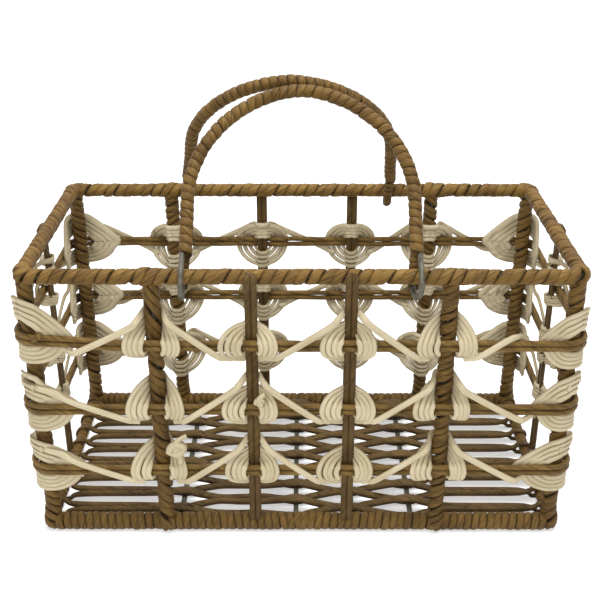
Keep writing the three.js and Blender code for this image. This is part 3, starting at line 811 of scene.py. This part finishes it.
def petal_turns(wall, kind, share, height, seed):
    """The nested turns of one crossing."""
    facts = kinds[kind]
    centre = crossing_along(wall, kind, share, height)
    own = random.Random(seed)
    grown = own.uniform(0.98, 1.1), own.uniform(0.98, 1.08)
    if (wall, kind, share) == ("front", "corner", 1) and height > row_heights["bottom"]:
        grown = 0.76, 0.9
    lifted = 0
    if (wall, kind, share) == ("front", "corner", -1):
        lifted = 0.004 if height == row_heights["top"] else -0.0035
    strands = []
    for order in range(lace_turns):
        inner = order / (lace_turns - 1)

        def between(pair, slack=0.0005):
            return pair[0] + (pair[1] - pair[0]) * inner + own.uniform(-slack, slack)

        wide = between(facts["left"]) * grown[0], between(facts["right"]) * grown[1]
        rises = lifted + between(facts["top"]), between(facts["bottom"], 0.0002)
        angles = [math.pi * (0.5 + 2 * step / turn_steps) for step in range(turn_steps + 1)]
        points = [turn_point(wall, centre, height, kind, wide, rises, angle, turn_lift * order)
                  for angle in angles[:-1]]
        route = route_along([*points, points[0]])

        def narrowed(length):
            """Squeezed where the turns crowd together under the rails."""
            step = min(bisect.bisect_right(route[0], length) - 1, turn_steps)
            low = max(0, -math.sin(angles[step]))
            return 1 - (0.1 if wall == "back" else 0.42) * low, 1

        strands.append(cord(route, facts["width"], lace_thickness, seed + order, square=0.6,
                            shape=narrowed))
    return strands


def link_end(wall, kind, centre, side, height, high, short=False):
    """The end of a strand beside one crossing, from its tucked tip to where it runs free."""
    facts = kinds[kind]
    half, back = facts["half"], facts["back"]
    if short:
        spots = ((0.0335, 0.0005, 0.0048), (0.038, 0.0056, 0.0054), (0.043, 0.0078, 0.0098),
                 (0.0495, 0.0066, petal_front + 0.0012))
    elif kind == "corner" and high:
        spots = ((-0.004, 0.0172, back + 0.0012), (0.006, 0.0172, back + 0.0014),
                 (0.016, 0.0145, 0.0102), (0.027, 0.0088, petal_front + 0.0012))
    elif kind == "corner":
        spots = ((0.0215, -0.0005, 0.0048), (0.0255, -0.0058, 0.0058), (0.0305, -0.0074, 0.0098),
                 (0.0375, -0.005, petal_front + 0.0012))
    elif high:
        top = facts["high"]
        spots = ((-0.003, top, back - 0.0006), (half - 0.0005, top + 0.0006, back - 0.0004),
                 (half + 0.0018, top, (back + petal_front) / 2),
                 (half + 0.0052, top - 0.0028, petal_front - 0.0005),
                 (half + 0.0115, top * 0.64, petal_front + 0.0002))
    else:
        reach = facts["left" if side < 0 else "right"][0]
        spots = ((reach - 0.006, -0.0105, rail_out - 0.001),
                 (reach - 0.001, -0.0092, rail_out + 0.0008),
                 (reach + 0.0055, -0.0062, petal_front + 0.0002))
    ends = [on_wall(wall, centre + side * along, out, height + up) for along, up, out in spots]
    return [(place + climb(place), outward) for place, outward in ends]


def link_strand(wall, first, second, height, slope, seed):
    """The strand from one crossing slantwise over the rail cords to the next."""
    starts = crossing_along(wall, *first, height), crossing_along(wall, *second, height)
    points = link_end(wall, first[0], starts[0], 1, height, slope < 0)
    short = wall == "front" and second == ("corner", 1) and height == row_heights["top"]
    points += link_end(wall, second[0], starts[1], -1, height, slope > 0, short)[::-1]
    return cord(smoothed(points), link_width, lace_thickness, seed, square=0.6)


# Each knot's row, wall, place along it, height, size and length of its hanging tail
knots = (
    ("bottom", "front", -0.0925, 0.0735, 0.0052, 0.0135),
    ("middle", "front", -0.0305, 0.1135, 0.0027, 0.005),
)


def knot(wall, along, height, size, tail):
    """A hard little knot where two lengths of lacing join, with its short cut ends."""
    out = petal_front + 0.0032
    seed = round(1e4 * abs(along))
    ring = [on_wall(wall, along + size * math.cos(angle) * (1 + 0.25 * math.sin(2 * angle)),
                    out + 0.0011 * math.sin(1.5 * angle), height + 0.85 * size * math.sin(angle))
            for angle in [math.pi * step / 7 for step in range(24)]]
    ends = [
        ((-0.3, 0.2, 0.0004), (0.1, 1.3, 0.0012), (0.9, 1.9, 0.0004), (1.5, 2.1, -0.0006)),
        ((0.3, -0.2, 0.0008), (0.5, -1.4, 0.0002), (0.4, -tail / size, -0.0018)),
        ((-0.75, -0.55, -0.0004), (0, 0, 0.0012), (0.75, 0.65, -0.0004)),
    ]
    strands = [cord(smoothed(ring), 1.05 * size, 0.55 * size, seed, square=0.8)]
    for order, end in enumerate(ends):
        points = [on_wall(wall, along + size * x, out + lift, height + size * z) for x, z, lift in end]
        width = 0.0038 if order < 2 else 1.3 * size
        strands.append(cord(smoothed(points), width, 0.0014, seed + 1 + order, square=0.6))
    return strands


first_slopes = {"top": 1, "middle": -1, "bottom": -1}
seed = 300
for row_name, height in row_heights.items():
    for wall, crossings in wall_crossings.items():
        strands = []
        for kind, share in crossings:
            seed += 10
            strands += petal_turns(wall, kind, share, height, seed)
        chain = crossings if wall in ("front", "back") else [("corner", -1), *crossings, ("corner", 1)]
        slope = first_slopes[row_name]
        for first, second in zip(chain, chain[1:]):
            seed += 10
            strands.append(link_strand(wall, first, second, height, slope, seed))
            slope = -slope
        for knot_row, knot_wall, *spot in knots:
            if (knot_row, knot_wall) == (row_name, wall):
                strands += knot(wall, *spot)
        put(f"lacing_{row_name}_{wall}_strands", gather(strands), cream_cord, "basket", "cream_cord",
            f"lacing_{row_name}_{wall}")

# Handles
# Each is one length of bent steel wire, wound with the same brown cord. At each foot the wire is
# bent into a long hook that hangs loosely round the rail, bare outside it and wound inside it.

handle_half = 0.0825
handle_leg, handle_arch = 0.060, 0.089
arch_power = 1.12
handle_wire = 0.002
handle_wrap = 0.0052
handle_band, handle_band_height, handle_pitch = 0.0072, 0.0032, 0.0066
wire_spread = handle_wire + 0.00015
hook_crotch, hook_drop, tuck = 0.0175, 0.0153, 0.013
hook_wrap = 0.0038
hook_band, hook_band_height, hook_pitch = 0.0046, 0.0019, 0.0042
outer_pass = rim_wrap_radius + clearance + handle_wire
inner_pass = rim_wrap_radius + clearance + hook_wrap
tops_aside = 0.00275
handles = {"front": (0.0, 0.0, tops_aside), "rear": (math.pi, -0.0085, -tops_aside)}
foot_spread = {"front": {-1: 0.0, 1: 0.0}, "rear": {-1: 0.003, 1: 0.009}}
handle_cord = paper_cord("handle_cord", (0.245, 0.142, 0.033, 1), (0.11, 0.057, 0.013, 1),
                         (0.03, 0.014, 0.004, 1), 0.03, 3.2, 0.48, 0.65)


def handle_place(name):
    """From the handle's own upright frame, over the rail's axis, to its place at rest."""
    turn, shift, aside = handles[name]
    reach = rim_depth / 2 - handle_wrap - clearance + aside
    lean = math.asin(reach / (handle_leg + handle_arch))
    side = Matrix.Translation((shift, 0, 0)) @ Matrix.Rotation(turn, 4, "Z")
    hinge = Matrix.Translation((0, -rim_depth / 2, base_level + rim_height))
    return side @ hinge @ Matrix.Rotation(-lean, 4, "X")


def arch_points(steps=24):
    """Over the arch from the left leg to the right."""
    points = []
    for step in range(steps + 1):
        angle = math.pi * (1 - step / steps)
        c, s = math.cos(angle), math.sin(angle)
        across = handle_half * math.copysign(abs(c) ** arch_power, c)
        points.append(Vector((across, 0, handle_leg + handle_arch * s)))
    return points


def hook_wire(side, inside):
    """The wire of one hook, from its tucked end outside the rail, under it and up to the leg."""
    root = math.sqrt(0.5)
    outside = handle_half + wire_spread
    return [Vector((side * x, y, z)) for x, y, z in (
        (outside, 0, hook_crotch + tuck),
        (outside, 0, hook_crotch + handle_wire),
        (outside, -outer_pass, handle_wire),
        (outside, -outer_pass, -handle_wire),
        (outside, -outer_pass * root, -hook_drop * root),
        ((outside * 0.6 + inside * 0.4), 0, -hook_drop),
        (inside, inner_pass * root, -hook_drop * root),
        (inside, inner_pass, -cord_radius),
        (inside, inner_pass, cord_radius),
        ((inside + handle_half) / 2, wire_spread, hook_crotch + wire_spread),
        (handle_half - wire_spread, 0, hook_crotch + tuck),
        (handle_half, 0, hook_crotch + 2 * tuck),
    )]


def spread_foot(point, spreads):
    """Moves the foot of a leg outwards, more towards its end."""
    side = 1 if point.x > 0 else -1
    share = 1 - eased(point.z, -0.005, handle_leg + 0.012)
    return point + Vector((side * spreads[side] * share, 0, 0))


for order, name in enumerate(handles):
    place = handle_place(name)
    inward = place.to_3x3() @ Vector((0, 1, 0))
    insides = {-1: handle_half + wire_spread * (1 if name == "front" else -1),
               1: handle_half - wire_spread}

    def placed(points):
        return [place @ spread_foot(point, foot_spread[name]) for point in points]

    wire = [*hook_wire(-1, insides[-1]), *arch_points(), *hook_wire(1, insides[1])[::-1]]
    route = smoothed([(point, inward) for point in placed(wire)])
    bent_wire = cord(route, 2 * handle_wire, 2 * handle_wire, 700 + order, sides=12)
    put(f"{name}_handle_bent_wire", bent_wire, steel_wire, f"{name}_handle", "steel_wire",
        f"{name}_handle_wire")

    left, right = [[Vector((side * handle_half, 0, hook_crotch + 0.0212 * step))
                    for step in range(2)] for side in (-1, 1)]
    legs = [*left, *arch_points(), *right[::-1]]
    route = smoothed([(point, inward) for point in placed(legs)])
    run = route[0][-1]
    wound = winding(route, handle_wrap - handle_band_height / 2, run / round(run / handle_pitch),
                    hand=1 if order else -1, seed=720 + order, loose=1.2)
    strands = [cord(wound, handle_band, handle_band_height, 720 + order, square=0.8)]
    for side in (-1, 1):
        inner = smoothed([(point, place.to_3x3() @ Vector((1, 0, 0))) for point in placed([
            Vector((side * insides[side], inner_pass, -0.004)),
            Vector((side * insides[side], inner_pass, cord_radius)),
            Vector((side * (insides[side] + handle_half) / 2, wire_spread + 0.0035,
                    hook_crotch - 0.002)),
            Vector((side * handle_half, 0.001, hook_crotch + 0.006)),
        ])])
        run = inner[0][-1]
        seed = 730 + order + side
        wound = winding(inner, handle_wire + hook_band_height / 2, run / round(run / hook_pitch),
                        seed=seed)
        strands.append(cord(wound, hook_band, hook_band_height, seed, square=0.8))
    put(f"{name}_handle_winding", gather(strands), handle_cord, f"{name}_handle", "brown_cord",
        f"{name}_handle_wrap")

# Floor and light
# A plain pale floor under a white surround, with wide soft lamps above and in front, at a level
# where a colour renders about as it is written.

stage_mesh = bpy.data.meshes.new("studio_floor")
bm = bmesh.new()
bmesh.ops.create_grid(bm, x_segments=1, y_segments=1, size=4)
bm.to_mesh(stage_mesh)
bm.free()
studio_floor = bpy.data.objects.new("studio_floor", stage_mesh)
bpy.context.scene.collection.objects.link(studio_floor)
floor_paint = bpy.data.materials.new("studio_floor")
floor_paint.use_nodes = True
tree = floor_paint.node_tree
tree.nodes["Principled BSDF"].inputs["Base Color"].default_value = (0.9, 0.9, 0.9, 1)
tree.nodes["Principled BSDF"].inputs["Roughness"].default_value = 0.9


def seen_rays(tree):
    """1 where the camera sees a surface, straight or in a gloss or through glass, and 0 elsewhere."""
    rays = tree.nodes.new("ShaderNodeLightPath")
    seen = rays.outputs["Is Camera Ray"]
    for kind in ("Is Glossy Ray", "Is Transmission Ray"):
        either = tree.nodes.new("ShaderNodeMath")
        either.operation = "MAXIMUM"
        tree.links.new(seen, either.inputs[0])
        tree.links.new(rays.outputs[kind], either.inputs[1])
        seen = either.outputs[0]
    return seen


glow = tree.nodes.new("ShaderNodeMath")
glow.operation = "MULTIPLY"
glow.inputs[1].default_value = 0.5
tree.links.new(seen_rays(tree), glow.inputs[0])
tree.nodes["Principled BSDF"].inputs["Emission Color"].default_value = (1, 1, 1, 1)
tree.links.new(glow.outputs[0], tree.nodes["Principled BSDF"].inputs["Emission Strength"])
stage_mesh.materials.append(floor_paint)

world = bpy.data.worlds.new("studio")
bpy.context.scene.world = world
world.use_nodes = True
tree = world.node_tree
background = tree.nodes["Background"]
level = tree.nodes.new("ShaderNodeMapRange")
level.inputs["To Min"].default_value = 0.5
level.inputs["To Max"].default_value = 1.0
tree.links.new(seen_rays(tree), level.inputs["Value"])
tree.links.new(level.outputs["Result"], background.inputs["Strength"])
background.inputs["Color"].default_value = (1, 1, 1, 1)

for name, place, size, energy in (
    ("lamp_above", (0.1, -0.1, 1.5), 1.0, 19.5),
    ("lamp_front", (-0.5, -1.3, 0.9), 1.0, 4),
):
    lamp = bpy.data.lights.new(name, "AREA")
    lamp.size = size
    lamp.energy = energy
    holder = bpy.data.objects.new(name, lamp)
    holder.location = place
    holder.rotation_euler = (Vector((0, 0, 0.12)) - Vector(place)).to_track_quat("-Z", "Y").to_euler()
    bpy.context.scene.collection.objects.link(holder)

bpy.context.scene.view_settings.view_transform = "Standard"

bpy.context.view_layer.update()
